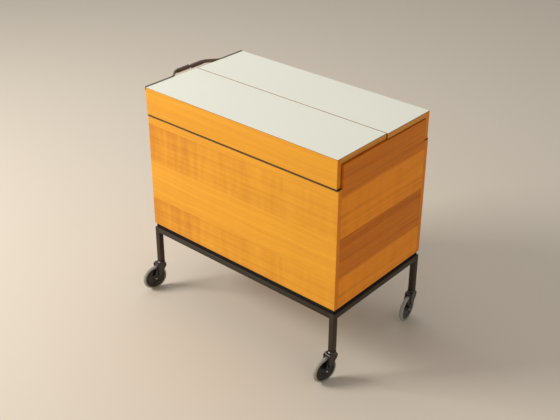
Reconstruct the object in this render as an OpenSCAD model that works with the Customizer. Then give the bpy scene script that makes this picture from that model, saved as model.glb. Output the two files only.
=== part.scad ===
// Sewing box on castors: a wooden case whose top opens in two leaves, one to the
// front and one to the back, over two sliding trays and a deep well.
// The floor is z = 0 and the front is -Y. The origin is under the middle of the
// whole object's box, wheels, hinges and handle included.

/* [Case] */
// Width of the case, left to right
box_w = 620; // [510:5:750]
// Depth of the case, front to back
box_d = 357; // [295:1:430]
// Height from the case's underside to the top of the leaves
box_h = 397; // [330:1:480]
// Thickness of the side boards and lid boards
board_t = 13; // [11:0.5:16]
// Thickness of the bottom panel
bottom_t = 10; // [6:1:14]

/* [Lid leaves] */
// Height of the fascia, from the hinge axis to the top
fascia_h = 75; // [68:1:100]
// Thickness of the laminate on the leaves
laminate_t = 1; // [0.6:0.1:1.5]
// Gap between a leaf and the end panels it closes over
lid_gap = 3; // [2:0.5:5]
// Gap between the two leaves
split_gap = 2; // [1:0.5:4]
// How far the split lies behind the middle of the case
split_shift = 4; // [0:0.5:10]
// How much shorter a leaf is than the case
leaf_cut = 3; // [0:0.5:6]
// Sideways place of the front leaf
front_leaf_x = -4; // [-5:0.5:0]
// Sideways place of the rear leaf
rear_leaf_x = -1; // [-5:0.5:0]

/* [Hinges] */
// Gap between a panel's top edge and its fascia
hinge_gap = 2.6; // [2.5:0.1:3.4]
// Outer diameter of the hinge knuckles
knuckle_d = 3.4; // [3.2:0.1:3.8]
// Diameter of the hinge pins
hinge_pin_d = 1.6; // [1.2:0.1:1.8]
// Thickness of the hinge plates
plate_t = 0.9; // [0.7:0.1:1]
// How far the hinge axis stands out of the case's face
hinge_out = 1.3; // [1.2:0.1:2]
// Number of knuckles on each hinge
knuckles = 15; // [7:2:21]
// Number of screws in each hinge plate
plate_screws = 7; // [4:1:9]
// Length of the hinge screws
hinge_screw_l = 16; // [12:1:20]

/* [Handle] */
// Thickness of the handle strap
strap_t = 3; // [2:0.5:4]
// Height of the handle strap
strap_h = 10; // [9:0.5:12]
// How far the strap stands above the top of the leaves
strap_proud = 2; // [0:0.5:3]
// Half the length of the bowed part of the handle
bow_half = 92; // [80:1:105]
// Length of the sleeve on each half
sleeve_l = 46; // [40:1:62]
// Distance from a leaf's end to the middle of the sleeve
grip_out = 28; // [20:0.5:34]
// Width of the sleeve
sleeve_w = 11; // [9:0.5:14]
// Height of the sleeve
sleeve_h = 12; // [12:0.5:15]

/* [Trays] */
// Depth of a tray, front to back
tray_d = 150; // [110:1:170]
// Height of the upper tray
upper_tray_h = 45; // [36:1:52]
// Height of the lower tray
lower_tray_h = 50; // [36:1:60]
// Thickness of the tray walls
tray_wall = 7; // [5:0.5:9]
// Thickness of the tray bases
tray_base_t = 4; // [3:0.5:6]
// Thickness of the dividers
divider_t = 5; // [3:0.5:7]
// How far the dividers stay below the rim
divider_drop = 8; // [4:1:12]
// Depth of the front bays of the upper tray
front_bay_d = 56; // [50:1:70]
// Number of rear bays in the upper tray
upper_bays = 5; // [2:1:6]
// Number of bays in the lower tray
lower_bays = 4; // [2:1:6]
// Number of spool pins
spool_pins_n = 7; // [3:1:8]
// Diameter of a spool pin
spool_pin_d = 6; // [4:0.5:8]
// Height of a spool pin above the tray base
spool_pin_h = 30; // [20:1:34]
// Width of a tray runner
runner_w = 12; // [9:1:16]
// Height of a tray runner
runner_h = 12; // [9:1:16]
// Length of the stop at each end of a runner
stop_l = 8; // [5:1:12]
// Height of the stop above the runner
stop_h = 10; // [6:1:14]

/* [Base frame] */
// Height of the case's underside above the floor
base_h = 205; // [185:1:240]
// Size of the square tube
tube = 15; // [13:0.5:18]
// Wall of the square tube
tube_wall = 1.2; // [1:0.1:1.6]
// Shadow gap between the case and the frame
frame_drop = 12.5; // [8:0.5:18]
// How far the frame stays inside the case's faces (below zero it stands proud)
frame_inset = -0.4; // [-2:0.2:4]
// How far the battens stay inside the frame
batten_inset = 4; // [2:0.5:4.5]
// Width of the battens between frame and case
batten_w = 16; // [14:1:24]
// Height of the legs' lower ends above the floor
leg_foot = 83; // [83:1:99]

/* [Castors] */
// Diameter of the wheels
wheel_d = 70; // [58:1:74]
// Width of the tyres
wheel_w = 10.5; // [10.5:0.5:14]
// Thickness of the tyres
tyre_t = 5.5; // [3:0.5:7]
// Distance from the swivel axis back to the axle
trail = 22.5; // [18:0.5:28]
// Diameter of the axles
axle_d = 5; // [5:0.5:7]
// Diameter of the swivel stems
stem_d = 8; // [6:0.5:9]
// Length of the stem inside the leg
stem_l = 32; // [24:1:45]
// Thickness of the fork's sheet steel
fork_t = 2.5; // [2:0.5:3.5]
// Swivel of the front left castor at rest, degrees
turn_front_left = -15; // [-30:1:30]
// Swivel of the front right castor at rest, degrees
turn_front_right = -11; // [-30:1:30]
// Swivel of the rear left castor at rest, degrees
turn_rear_left = -2; // [-12:1:12]
// Swivel of the rear right castor at rest, degrees
turn_rear_right = 6; // [-14:1:14]

/* [Fits] */
// Radial clearance of pins and axles that turn
run_fit = 0.05; // [0.02:0.01:0.1]
// Gap between pieces that move past each other
part_gap = 0.3; // [0.2:0.05:0.6]
// Clearance round screws and loose slats
seat_fit = 0.1; // [0.05:0.05:0.2]

/* [Hidden] */
$fn = 48;

amber = [0.93, 0.60, 0.20];
cherry = [0.72, 0.38, 0.11];
pale = [0.86, 0.85, 0.78];
black = [0.13, 0.11, 0.10];
steel = [0.70, 0.70, 0.70];
beech = [0.86, 0.68, 0.45];
grey = [0.62, 0.62, 0.60];

FRONT = -1;
REAR = 1;
LEFT = -1;
RIGHT = 1;

// Case heights
hinge_z = base_h + box_h - fascia_h;
top_z = base_h + box_h;
lid_under_z = top_z - laminate_t - board_t;
panel_top_z = hinge_z - hinge_gap / 2;
end_top_z = lid_under_z - lid_gap;
inner_w = box_w - 2 * board_t;
inner_d = box_d - 2 * board_t;

// Leaves and hinges
leaf_w = box_w - leaf_cut;
hinge_l = box_w - 4;
hinge_y = box_d / 2 + hinge_out;
screw_d = 3;
screw_head_d = 6;
screw_head_h = 2;
plate_edge = 1;
knuckle_gap = 0.4;

// Handle
handle_z = top_z + strap_proud - strap_h / 2;
handle_screw_z = (handle_z - strap_h / 2 + top_z - laminate_t) / 2;
strap_split = 1;
bend_steps = 12;
handle_screw_at = [bow_half + 20, box_d / 2 - split_gap / 2 - split_shift - 18.5];
handle_screw_l = 20;
pan_head_d = 6;
pan_head_h = 2;

// Trays
tray_end_gap = 1;
tray_w = inner_w - 2 * tray_end_gap;
runner_half = inner_d / 2 - 1;
tray_reach = runner_half - stop_l - part_gap;
upper_tray_z = lid_under_z - 6 - upper_tray_h;
lower_tray_z = upper_tray_z - part_gap - runner_h - 5 - lower_tray_h;
notch_r = 16;
runner_screw_l = 20;

// Frame
rail_top_z = base_h - frame_drop;
frame_x = box_w / 2 - frame_inset - tube / 2;
frame_y = box_d / 2 - frame_inset - tube / 2;
bore = tube - 2 * tube_wall;
frame_screw_d = 4;
frame_screw_head_d = 8;
frame_screw_head_h = 2.5;
frame_screw_into_case = 16;
front_screw_x = box_w / 2 - 60;

// Castors
socket_flange = 1.5;
wheel_r = wheel_d / 2;
tyre_round = 5;
crown_top_z = leg_foot - socket_flange - part_gap;
bearing_h = 2;
bearing_r = 10.5;
hood_top_z = crown_top_z - bearing_h;
crown_z = hood_top_z - fork_t;
hood_front = 17;
hood_back = 10.5;
hood_round = 6;
lip_z = wheel_d + 0.8;
swell_r = (hood_front + hood_back) / 2;
swell = [(hood_back - hood_front) / 2, lip_z];
eye_r = 6.5;
fork_in = wheel_w / 2 + 2;
fork_out = fork_in + fork_t;
hub_half = fork_in - part_gap;
disc_r = wheel_r - tyre_t;
rivet_head_h = 1.5;
rivet_head_r = axle_d / 2 + 0.5;

// Place of the case in the frame: the origin is the middle of the whole box
function forward_reach(turn) =
    (trail + wheel_r - tyre_round) * cos(turn)
    + (wheel_w / 2 - tyre_round) * abs(sin(turn)) + tyre_round;
function backward_reach(turn) = max(
    hood_back * cos(turn) + fork_out * abs(sin(turn)),
    (wheel_r - tyre_round - trail) * cos(turn) + (wheel_w / 2 - tyre_round) * abs(sin(turn)) + tyre_round);
function right_going(turn) =
    trail * sin(turn) + max(
        (wheel_r - tyre_round) * abs(sin(turn)) + (wheel_w / 2 - tyre_round) * cos(turn) + tyre_round,
        rivet_head_r * abs(sin(turn)) + (fork_out + rivet_head_h) * cos(turn));
front_reach = frame_y + max(forward_reach(turn_front_left), forward_reach(turn_front_right));
rear_reach = max(
    hinge_y + knuckle_d / 2,
    frame_y + backward_reach(turn_rear_left), frame_y + backward_reach(turn_rear_right));
left_reach = leaf_w / 2 - min(front_leaf_x, rear_leaf_x) + grip_out + sleeve_w / 2;
right_reach = max(box_w / 2, frame_x + right_going(turn_front_right), frame_x + right_going(turn_rear_right));
case_x = (left_reach - right_reach) / 2;
case_y = (front_reach - rear_reach) / 2;

module in_frame() { translate([case_x, case_y, 0]) children(); }

// A box given by its low and high corners
module block(low, high) { translate(low) cube(high - low); }

// Even places along a length, both ends included
function spread(n, span) = [for (i = [0 : n - 1]) span * (i / (n - 1) - 0.5)];

// What is drawn for the right end or the rear face, mirrored to the other side
module both_sides() { for (s = [LEFT, RIGHT]) end_side(s) children(); }
module end_side(s) { if (s > 0) children(); else mirror([1, 0, 0]) children(); }
module face_side(s) { if (s > 0) children(); else mirror([0, 1, 0]) children(); }

// ---- Screws ----

// Countersunk wood screw: the head's face is at z = 0 and the shank points down
module wood_screw(length, clear = 0) {
    translate([0, 0, -screw_head_h])
        cylinder(h = screw_head_h + clear, d1 = screw_d + 2 * clear, d2 = screw_head_d + 2 * clear);
    translate([0, 0, -length - clear])
        cylinder(h = length, d = screw_d + 2 * clear);
}

// Pan-head screw: the head sits on z = 0 and the shank points down
module pan_screw(length, shank_d, head_d, head_h, clear = 0) {
    cylinder(h = head_h, d = head_d);
    translate([0, 0, -length - clear])
        cylinder(h = length + clear, d = shank_d + 2 * clear);
}

// ---- Hinges: drawn for the rear face, mirrored for the front ----

hinge_screw_y = box_d / 2 - board_t / 2;

module fixed_screws(clear = 0) {
    for (x = spread(plate_screws, hinge_l - 40))
        translate([x, hinge_screw_y, hinge_z - hinge_gap / 2 + plate_t])
            wood_screw(hinge_screw_l, clear);
}

module flap_screws(clear = 0) {
    for (x = spread(plate_screws, hinge_l - 40))
        translate([x, hinge_screw_y, hinge_z + hinge_gap / 2 - plate_t])
            mirror([0, 0, 1]) wood_screw(hinge_screw_l, clear);
}

// One half of a piano hinge: the first knuckle is at the left, then every other one
module hinge_half(first, low_z) {
    step = hinge_l / knuckles;
    difference() {
        union() {
            block([-hinge_l / 2, box_d / 2 - board_t + plate_edge, low_z],
                  [hinge_l / 2, hinge_y - knuckle_d / 2 - part_gap, low_z + plate_t]);
            for (i = [first : 2 : knuckles - 1]) {
                x = -hinge_l / 2 + i * step + knuckle_gap / 2;
                translate([x, hinge_y, hinge_z]) rotate([0, 90, 0])
                    cylinder(h = step - knuckle_gap, d = knuckle_d);
                block([x, box_d / 2 - board_t / 2, low_z],
                      [x + step - knuckle_gap, hinge_y - hinge_pin_d / 2, low_z + plate_t]);
            }
        }
        translate([-hinge_l / 2 - 1, hinge_y, hinge_z]) rotate([0, 90, 0])
            cylinder(h = hinge_l + 2, d = hinge_pin_d + 2 * run_fit);
    }
}

module hinge_plate() {
    difference() {
        hinge_half(0, hinge_z - hinge_gap / 2);
        fixed_screws(seat_fit);
    }
}

module hinge_flap() {
    difference() {
        hinge_half(1, hinge_z + hinge_gap / 2 - plate_t);
        flap_screws(seat_fit);
    }
}

module front_hinge_plate() { color(black) in_frame() face_side(FRONT) hinge_plate(); }
module rear_hinge_plate() { color(black) in_frame() face_side(REAR) hinge_plate(); }
module front_hinge_flap() { color(black) in_frame() face_side(FRONT) hinge_flap(); }
module rear_hinge_flap() { color(black) in_frame() face_side(REAR) hinge_flap(); }

module hinge_pins() {
    color(black) in_frame()
        for (s = [FRONT, REAR])
            translate([-hinge_l / 2, s * hinge_y, hinge_z]) rotate([0, 90, 0])
                cylinder(h = hinge_l, d = hinge_pin_d);
}

// ---- Case ----

// Screws that come up through the frame: front and rear rails, then the end rails
module frame_screw_places() {
    for (s = [FRONT, REAR])
        for (x = spread(3, 2 * front_screw_x))
            translate([x, s * frame_y, rail_top_z - tube]) children();
    for (s = [LEFT, RIGHT])
        translate([s * frame_x, 0, rail_top_z - tube]) children();
}

module frame_screw_set(clear = 0) {
    frame_screw_places() mirror([0, 0, 1])
        pan_screw(tube + frame_drop + frame_screw_into_case,
                  frame_screw_d, frame_screw_head_d, frame_screw_head_h, clear);
}

module face_panel() {
    difference() {
        block([-box_w / 2, box_d / 2 - board_t, base_h], [box_w / 2, box_d / 2, panel_top_z]);
        fixed_screws(seat_fit);
        frame_screw_set(seat_fit);
    }
}

module front_panel() { color(amber) in_frame() face_side(FRONT) face_panel(); }
module rear_panel() { color(amber) in_frame() face_side(REAR) face_panel(); }

// An end panel stands between the face panels and narrows above the hinge line
module end_panel() {
    wide = inner_d / 2;
    narrow = wide - lid_gap;
    difference() {
        translate([inner_w / 2, 0, 0]) rotate([90, 0, 90]) linear_extrude(board_t)
            polygon([
                [-wide, base_h], [wide, base_h], [wide, panel_top_z],
                [narrow, panel_top_z], [narrow, end_top_z],
                [-narrow, end_top_z], [-narrow, panel_top_z], [-wide, panel_top_z]
            ]);
        runner_screws(seat_fit);
        frame_screw_set(seat_fit);
    }
}

module left_end_panel() { color(cherry) in_frame() end_side(LEFT) end_panel(); }
module right_end_panel() { color(cherry) in_frame() end_side(RIGHT) end_panel(); }

module bottom_panel() {
    color(beech) in_frame()
        block([-inner_w / 2, -inner_d / 2, base_h], [inner_w / 2, inner_d / 2, base_h + bottom_t]);
}

// ---- Tray runners: drawn for the right end, mirrored for the left ----

// Each runner is a strip with a raised stop at both ends
module runner(tray_z) {
    top = tray_z - part_gap;
    difference() {
        translate([inner_w / 2 - runner_w, 0, 0]) rotate([90, 0, 90]) linear_extrude(runner_w)
            polygon([
                [-runner_half, top - runner_h], [runner_half, top - runner_h],
                [runner_half, top + stop_h], [runner_half - stop_l, top + stop_h],
                [runner_half - stop_l, top], [stop_l - runner_half, top],
                [stop_l - runner_half, top + stop_h], [-runner_half, top + stop_h]
            ]);
        runner_screws(seat_fit);
    }
}

module runner_screws(clear = 0) {
    for (z = [upper_tray_z, lower_tray_z])
        for (y = spread(3, 2 * runner_half - 60))
            translate([inner_w / 2 - runner_w, y, z - part_gap - runner_h / 2])
                rotate([0, -90, 0]) wood_screw(runner_screw_l, clear);
}

module upper_runners() { color(beech) in_frame() both_sides() runner(upper_tray_z); }
module lower_runners() { color(beech) in_frame() both_sides() runner(lower_tray_z); }

module case_screws() {
    color(steel) in_frame() {
        both_sides() runner_screws();
        for (s = [FRONT, REAR]) face_side(s) fixed_screws();
    }
}

// ---- Lid leaves ----

// Each leaf is drawn for the rear: s is the side it hinges on, x its sideways place.
// Distance from the middle of the case to the leaf's free edge, along its own side
function free_edge(s) = split_gap / 2 + s * split_shift;

module fascia(s, x) {
    difference() {
        block([x - leaf_w / 2, box_d / 2 - board_t, hinge_z + hinge_gap / 2],
              [x + leaf_w / 2, box_d / 2, top_z - laminate_t]);
        flap_screws(seat_fit);
        handle_screws(s, x, seat_fit);
    }
}

module lid_board(s, x) {
    difference() {
        block([x - leaf_w / 2, free_edge(s), lid_under_z],
              [x + leaf_w / 2, box_d / 2 - board_t, top_z - laminate_t]);
        handle_screws(s, x, seat_fit);
    }
}

module laminate(s, x) {
    block([x - leaf_w / 2, free_edge(s), top_z - laminate_t], [x + leaf_w / 2, box_d / 2, top_z]);
}

module front_lid_board() { color(amber) in_frame() face_side(FRONT) lid_board(FRONT, front_leaf_x); }
module rear_lid_board() { color(amber) in_frame() face_side(REAR) lid_board(REAR, rear_leaf_x); }
module front_laminate() { color(pale) in_frame() face_side(FRONT) laminate(FRONT, front_leaf_x); }
module rear_laminate() { color(pale) in_frame() face_side(REAR) laminate(REAR, rear_leaf_x); }
module front_fascia() { color(amber) in_frame() face_side(FRONT) fascia(FRONT, front_leaf_x); }
module rear_fascia() { color(amber) in_frame() face_side(REAR) fascia(REAR, rear_leaf_x); }

// ---- Handle: two halves, one on the left end of each leaf ----

// How far the strap stands out at distance t from the free edge: an S-bend
function bow(t) =
    t < sleeve_l ? grip_out
    : t > bow_half ? strap_t / 2
    : strap_t / 2 + (grip_out - strap_t / 2) * (1 + cos(180 * (t - sleeve_l) / (bow_half - sleeve_l))) / 2;

function bow_slope(t) = (bow(t + 0.5) - bow(t - 0.5));

// The strap's two faces, followed out along one and back along the other
function strap_face(side, places) = [
    for (t = places)
        let (slope = bow_slope(t), n = sqrt(1 + slope * slope))
        [-bow(t) - side * strap_t / 2 / n, t - side * slope * strap_t / 2 / n]
];

module handle_strap(s, x) {
    reach = box_d / 2 - free_edge(s);
    bend = [for (i = [0 : bend_steps]) sleeve_l + (bow_half - sleeve_l) * i / bend_steps];
    places = concat([strap_split], bend, [reach]);
    backward = [for (i = [len(places) - 1 : -1 : 0]) places[i]];
    difference() {
        translate([x - leaf_w / 2, free_edge(s), handle_z - strap_h / 2]) linear_extrude(strap_h)
            polygon(concat(strap_face(1, places), strap_face(-1, backward)));
        handle_screws(s, x, seat_fit);
    }
}

module handle_screws(s, x, clear = 0) {
    for (t = handle_screw_at)
        translate([x - leaf_w / 2 - strap_t, free_edge(s) + t, handle_screw_z])
            rotate([0, -90, 0]) pan_screw(handle_screw_l, screw_d, pan_head_d, pan_head_h, clear);
}

// The sleeve is an upright oval tube with the strap inside it
module handle_sleeve(s, x) {
    flat = sleeve_h - sleeve_w;
    translate([x - leaf_w / 2 - grip_out, free_edge(s) + strap_split, handle_z])
        rotate([-90, 0, 0]) linear_extrude(sleeve_l - strap_split - 1)
            difference() {
                union() {
                    translate([0, flat / 2]) circle(d = sleeve_w);
                    translate([0, -flat / 2]) circle(d = sleeve_w);
                    square([sleeve_w, flat], center = true);
                }
                square([strap_t + 2 * seat_fit, strap_h + 2 * seat_fit], center = true);
            }
}

module front_handle_strap() { color(black) in_frame() face_side(FRONT) handle_strap(FRONT, front_leaf_x); }
module rear_handle_strap() { color(black) in_frame() face_side(REAR) handle_strap(REAR, rear_leaf_x); }
module front_handle_sleeve() { color(black) in_frame() face_side(FRONT) handle_sleeve(FRONT, front_leaf_x); }
module rear_handle_sleeve() { color(black) in_frame() face_side(REAR) handle_sleeve(REAR, rear_leaf_x); }

module lid_screws(s, x) {
    color(steel) in_frame() face_side(s) {
        flap_screws();
        handle_screws(s, x);
    }
}

module front_lid_screws() { lid_screws(FRONT, front_leaf_x); }
module rear_lid_screws() { lid_screws(REAR, rear_leaf_x); }

// ---- Trays ----

// The upper tray rests at the back and the lower one at the front
upper_y = tray_reach - tray_d;
lower_y = -tray_reach;
bay_w = tray_w - 2 * tray_wall;

module tray_at(y, z) { in_frame() translate([0, y, z]) children(); }

// Four walls with a finger notch in the front and back ones
module tray_walls(height) {
    difference() {
        block([-tray_w / 2, 0, 0], [tray_w / 2, tray_d, height]);
        block([-bay_w / 2, tray_wall, -1], [bay_w / 2, tray_d - tray_wall, height + 1]);
        translate([0, -1, height]) rotate([-90, 0, 0]) cylinder(h = tray_d + 2, r = notch_r);
    }
}

module tray_base(holes = false) {
    difference() {
        block([-bay_w / 2, tray_wall, 0], [bay_w / 2, tray_d - tray_wall, tray_base_t]);
        if (holes) spool_pin_set(seat_fit);
    }
}

module cross_slat(x, low_y, high_y, height) {
    block([x - divider_t / 2, low_y + seat_fit, tray_base_t],
          [x + divider_t / 2, high_y - seat_fit, height - divider_drop]);
}

// A long slat parts the front bays from the rear ones
module upper_slats() {
    long_y = tray_wall + front_bay_d;
    block([-bay_w / 2 + seat_fit, long_y, tray_base_t],
          [bay_w / 2 - seat_fit, long_y + divider_t, upper_tray_h - divider_drop]);
    cross_slat(0, tray_wall, long_y, upper_tray_h);
    for (i = [1 : upper_bays - 1])
        cross_slat(bay_w * (i / upper_bays - 0.5), long_y + divider_t, tray_d - tray_wall, upper_tray_h);
}

module lower_slats() {
    for (i = [1 : lower_bays - 1])
        cross_slat(bay_w * (i / lower_bays - 0.5), tray_wall, tray_d - tray_wall, lower_tray_h);
}

// A row of thread-spool pins stands in the left front bay
module spool_pin_set(clear = 0) {
    for (i = [0 : spool_pins_n - 1])
        translate([-bay_w / 2 * (i + 0.5) / spool_pins_n - divider_t / 2,
                   tray_wall + front_bay_d / 2, tray_base_t / 2])
            cylinder(h = tray_base_t / 2 + spool_pin_h, d = spool_pin_d + 2 * clear);
}

module upper_tray_walls() { color(beech) tray_at(upper_y, upper_tray_z) tray_walls(upper_tray_h); }
module upper_tray_base() { color(beech) tray_at(upper_y, upper_tray_z) tray_base(true); }
module upper_tray_dividers() { color(beech) tray_at(upper_y, upper_tray_z) upper_slats(); }
module spool_pins() { color(beech) tray_at(upper_y, upper_tray_z) spool_pin_set(); }
module lower_tray_walls() { color(beech) tray_at(lower_y, lower_tray_z) tray_walls(lower_tray_h); }
module lower_tray_base() { color(beech) tray_at(lower_y, lower_tray_z) tray_base(); }
module lower_tray_dividers() { color(beech) tray_at(lower_y, lower_tray_z) lower_slats(); }

// ---- Base frame: square steel tube, the rails butted between the legs ----

module rail(length) {
    difference() {
        translate([-length / 2, -tube / 2, -tube]) cube([length, tube, tube]);
        translate([-length / 2 - 1, -bore / 2, -tube + tube_wall]) cube([length + 2, bore, bore]);
    }
}

module long_rail(s) {
    color(black) in_frame() difference() {
        translate([0, s * frame_y, rail_top_z]) rail(2 * frame_x - tube);
        frame_screw_set(seat_fit);
    }
}

module short_rail(s) {
    color(black) in_frame() difference() {
        translate([s * frame_x, 0, rail_top_z]) rotate([0, 0, 90]) rail(2 * frame_y - tube);
        frame_screw_set(seat_fit);
    }
}

module front_rail() { long_rail(FRONT); }
module rear_rail() { long_rail(REAR); }
module left_rail() { short_rail(LEFT); }
module right_rail() { short_rail(RIGHT); }

module leg(sx, sy) {
    color(black) in_frame() translate([sx * frame_x, sy * frame_y, 0]) difference() {
        block([-tube / 2, -tube / 2, leg_foot], [tube / 2, tube / 2, rail_top_z]);
        block([-bore / 2, -bore / 2, leg_foot - 1], [bore / 2, bore / 2, rail_top_z - tube_wall]);
    }
}

module leg_front_left() { leg(LEFT, FRONT); }
module leg_front_right() { leg(RIGHT, FRONT); }
module leg_rear_left() { leg(LEFT, REAR); }
module leg_rear_right() { leg(RIGHT, REAR); }

// Four battens make the shadow gap between frame and case
module battens() {
    outer_x = frame_x + tube / 2 - batten_inset;
    outer_y = frame_y + tube / 2 - batten_inset;
    color(black) in_frame() difference() {
        union() {
            for (s = [FRONT, REAR]) face_side(s)
                block([-outer_x, outer_y - batten_w, rail_top_z], [outer_x, outer_y, base_h]);
            for (s = [LEFT, RIGHT]) end_side(s)
                block([outer_x - batten_w, batten_w + seat_fit - outer_y, rail_top_z],
                      [outer_x, outer_y - batten_w - seat_fit, base_h]);
        }
        frame_screw_set(seat_fit);
    }
}

module frame_screws() { color(steel) in_frame() frame_screw_set(); }

module castor_sockets() {
    color(steel) in_frame()
        for (sx = [LEFT, RIGHT])
            for (sy = [FRONT, REAR])
                translate([sx * frame_x, sy * frame_y, 0]) difference() {
                    union() {
                        block([-bore / 2, -bore / 2, leg_foot], [bore / 2, bore / 2, leg_foot + stem_l]);
                        block([-tube / 2, -tube / 2, leg_foot - socket_flange],
                              [tube / 2, tube / 2, leg_foot]);
                    }
                    translate([0, 0, leg_foot - socket_flange - 1])
                        cylinder(h = stem_l + socket_flange + 2, d = stem_d + 2 * run_fit);
                }
}

// ---- Castors: drawn trailing towards -Y from a swivel axis at x = y = 0 ----

module castor_at(sx, sy, turn) {
    in_frame() translate([sx * frame_x, sy * frame_y, 0]) rotate([0, 0, turn]) children();
}

module across(z_low, length) {
    translate([z_low, -trail, wheel_r]) rotate([0, 90, 0]) cylinder(h = length, d = axle_d);
}

// The straight web that joins two circles along their outer tangents
function tangent_web(c1, r1, c2, r2) =
    let (
        d = c2 - c1,
        u = d / norm(d),
        k = (r1 - r2) / norm(d),
        h = sqrt(1 - k * k),
        n1 = [u.x * k - u.y * h, u.y * k + u.x * h],
        n2 = [u.x * k + u.y * h, u.y * k - u.x * h]
    )
    [c1 + r1 * n1, c2 + r2 * n1, c2 + r2 * n2, c1 + r1 * n2];

// Side view of the hood over the wheel, drawn in by an inset: flat lip in front, round back
module hood_side(inset) {
    r = hood_round - inset;
    high = hood_top_z - inset;
    low = lip_z - inset;
    back = hood_back - inset;
    translate([inset - hood_front, low]) square([hood_front - inset + back - r, high - low]);
    translate([back - r - 1, low]) square([r + 1, high - low - r]);
    translate([back - r, high - r]) circle(r = r);
}

// Side view of one fork arm: a swell under the hood, drawn in to the axle's eye
module fork_arm() {
    eye = [-trail, wheel_r];
    rotate([90, 0, 90]) linear_extrude(fork_t) {
        hood_side(0);
        difference() {
            union() {
                translate(swell) circle(r = swell_r);
                translate(eye) circle(r = eye_r);
                polygon(tangent_web(swell, swell_r, eye, eye_r));
            }
            translate([-hood_front - 1, lip_z + 1]) square([hood_front + hood_back + 2, swell_r]);
        }
    }
}

// A sheet-steel hood between two arms, with the bearing's cap on top
module fork() {
    color(black) difference() {
        union() {
            translate([fork_in, 0, 0]) fork_arm();
            translate([-fork_out, 0, 0]) fork_arm();
            translate([-fork_out, 0, 0]) rotate([90, 0, 90]) linear_extrude(2 * fork_out)
                difference() {
                    hood_side(0);
                    hood_side(fork_t);
                }
            translate([0, 0, hood_top_z]) cylinder(h = bearing_h, r1 = bearing_r, r2 = bearing_r - 1.5);
        }
        translate([0, 0, crown_z - 1]) cylinder(h = bearing_h + fork_t + 2, d = stem_d);
        translate([-fork_out - 1, -trail, wheel_r]) rotate([0, 90, 0])
            cylinder(h = 2 * fork_out + 2, d = axle_d);
    }
}

// The swivel stem, peened under the crown, and the axle, peened outside both arms
module rivets() {
    color(steel) {
        translate([0, 0, crown_z]) cylinder(h = leg_foot + stem_l - crown_z - 1, d = stem_d);
        translate([0, 0, crown_z - rivet_head_h]) cylinder(h = rivet_head_h, d = stem_d + 3);
        across(-fork_out, 2 * fork_out);
        for (s = [LEFT, RIGHT]) end_side(s)
            translate([fork_out, -trail, wheel_r]) rotate([0, 90, 0])
                cylinder(h = rivet_head_h, r1 = rivet_head_r + 1, r2 = rivet_head_r);
    }
}

// The wheel's section, hub to rim: a hub, a dished web and a rim
module wheel() {
    hub_r = axle_d / 2 + 4;
    rim_t = 5.5;
    rim_half = wheel_w / 2 - 2;
    near = [
        [axle_d / 2 + run_fit, hub_half], [hub_r, hub_half],
        [hub_r + 1.5, rim_half + 1], [disc_r - rim_t - 2, rim_half - 1.5],
        [disc_r - rim_t, rim_half], [disc_r, rim_half]
    ];
    far = [for (i = [len(near) - 1 : -1 : 0]) [near[i].x, -near[i].y]];
    color(black) translate([0, -trail, wheel_r]) rotate([0, 90, 0])
        rotate_extrude($fn = 72) polygon(concat(near, far));
}

module tyre() {
    r = tyre_round;
    color(grey) translate([0, -trail, wheel_r]) rotate([0, 90, 0]) rotate_extrude($fn = 72)
        difference() {
            union() {
                translate([disc_r, -wheel_w / 2]) square([tyre_t - r, wheel_w]);
                translate([disc_r, r - wheel_w / 2]) square([tyre_t, wheel_w - 2 * r]);
                for (s = [-1, 1])
                    translate([wheel_r - r, s * (wheel_w / 2 - r)]) circle(r = r);
            }
            translate([0, -wheel_w]) square([disc_r, 2 * wheel_w]);
        }
}

module fork_front_left() { castor_at(LEFT, FRONT, turn_front_left) fork(); }
module fork_front_right() { castor_at(RIGHT, FRONT, turn_front_right) fork(); }
module fork_rear_left() { castor_at(LEFT, REAR, turn_rear_left) fork(); }
module fork_rear_right() { castor_at(RIGHT, REAR, turn_rear_right) fork(); }
module rivets_front_left() { castor_at(LEFT, FRONT, turn_front_left) rivets(); }
module rivets_front_right() { castor_at(RIGHT, FRONT, turn_front_right) rivets(); }
module rivets_rear_left() { castor_at(LEFT, REAR, turn_rear_left) rivets(); }
module rivets_rear_right() { castor_at(RIGHT, REAR, turn_rear_right) rivets(); }
module wheel_front_left() { castor_at(LEFT, FRONT, turn_front_left) wheel(); }
module wheel_front_right() { castor_at(RIGHT, FRONT, turn_front_right) wheel(); }
module wheel_rear_left() { castor_at(LEFT, REAR, turn_rear_left) wheel(); }
module wheel_rear_right() { castor_at(RIGHT, REAR, turn_rear_right) wheel(); }
module tyre_front_left() { castor_at(LEFT, FRONT, turn_front_left) tyre(); }
module tyre_front_right() { castor_at(RIGHT, FRONT, turn_front_right) tyre(); }
module tyre_rear_left() { castor_at(LEFT, REAR, turn_rear_left) tyre(); }
module tyre_rear_right() { castor_at(RIGHT, REAR, turn_rear_right) tyre(); }

front_panel();
rear_panel();
left_end_panel();
right_end_panel();
bottom_panel();
front_hinge_plate();
rear_hinge_plate();
hinge_pins();
case_screws();
upper_runners();
lower_runners();
front_rail();
rear_rail();
left_rail();
right_rail();
leg_front_left();
leg_front_right();
leg_rear_left();
leg_rear_right();
battens();
frame_screws();
castor_sockets();
front_lid_board();
front_laminate();
front_fascia();
front_hinge_flap();
front_lid_screws();
front_handle_strap();
front_handle_sleeve();
rear_lid_board();
rear_laminate();
rear_fascia();
rear_hinge_flap();
rear_lid_screws();
rear_handle_strap();
rear_handle_sleeve();
upper_tray_walls();
upper_tray_base();
upper_tray_dividers();
spool_pins();
lower_tray_walls();
lower_tray_base();
lower_tray_dividers();
fork_front_left();
rivets_front_left();
wheel_front_left();
tyre_front_left();
fork_front_right();
rivets_front_right();
wheel_front_right();
tyre_front_right();
fork_rear_left();
rivets_rear_left();
wheel_rear_left();
tyre_rear_left();
fork_rear_right();
rivets_rear_right();
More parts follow.
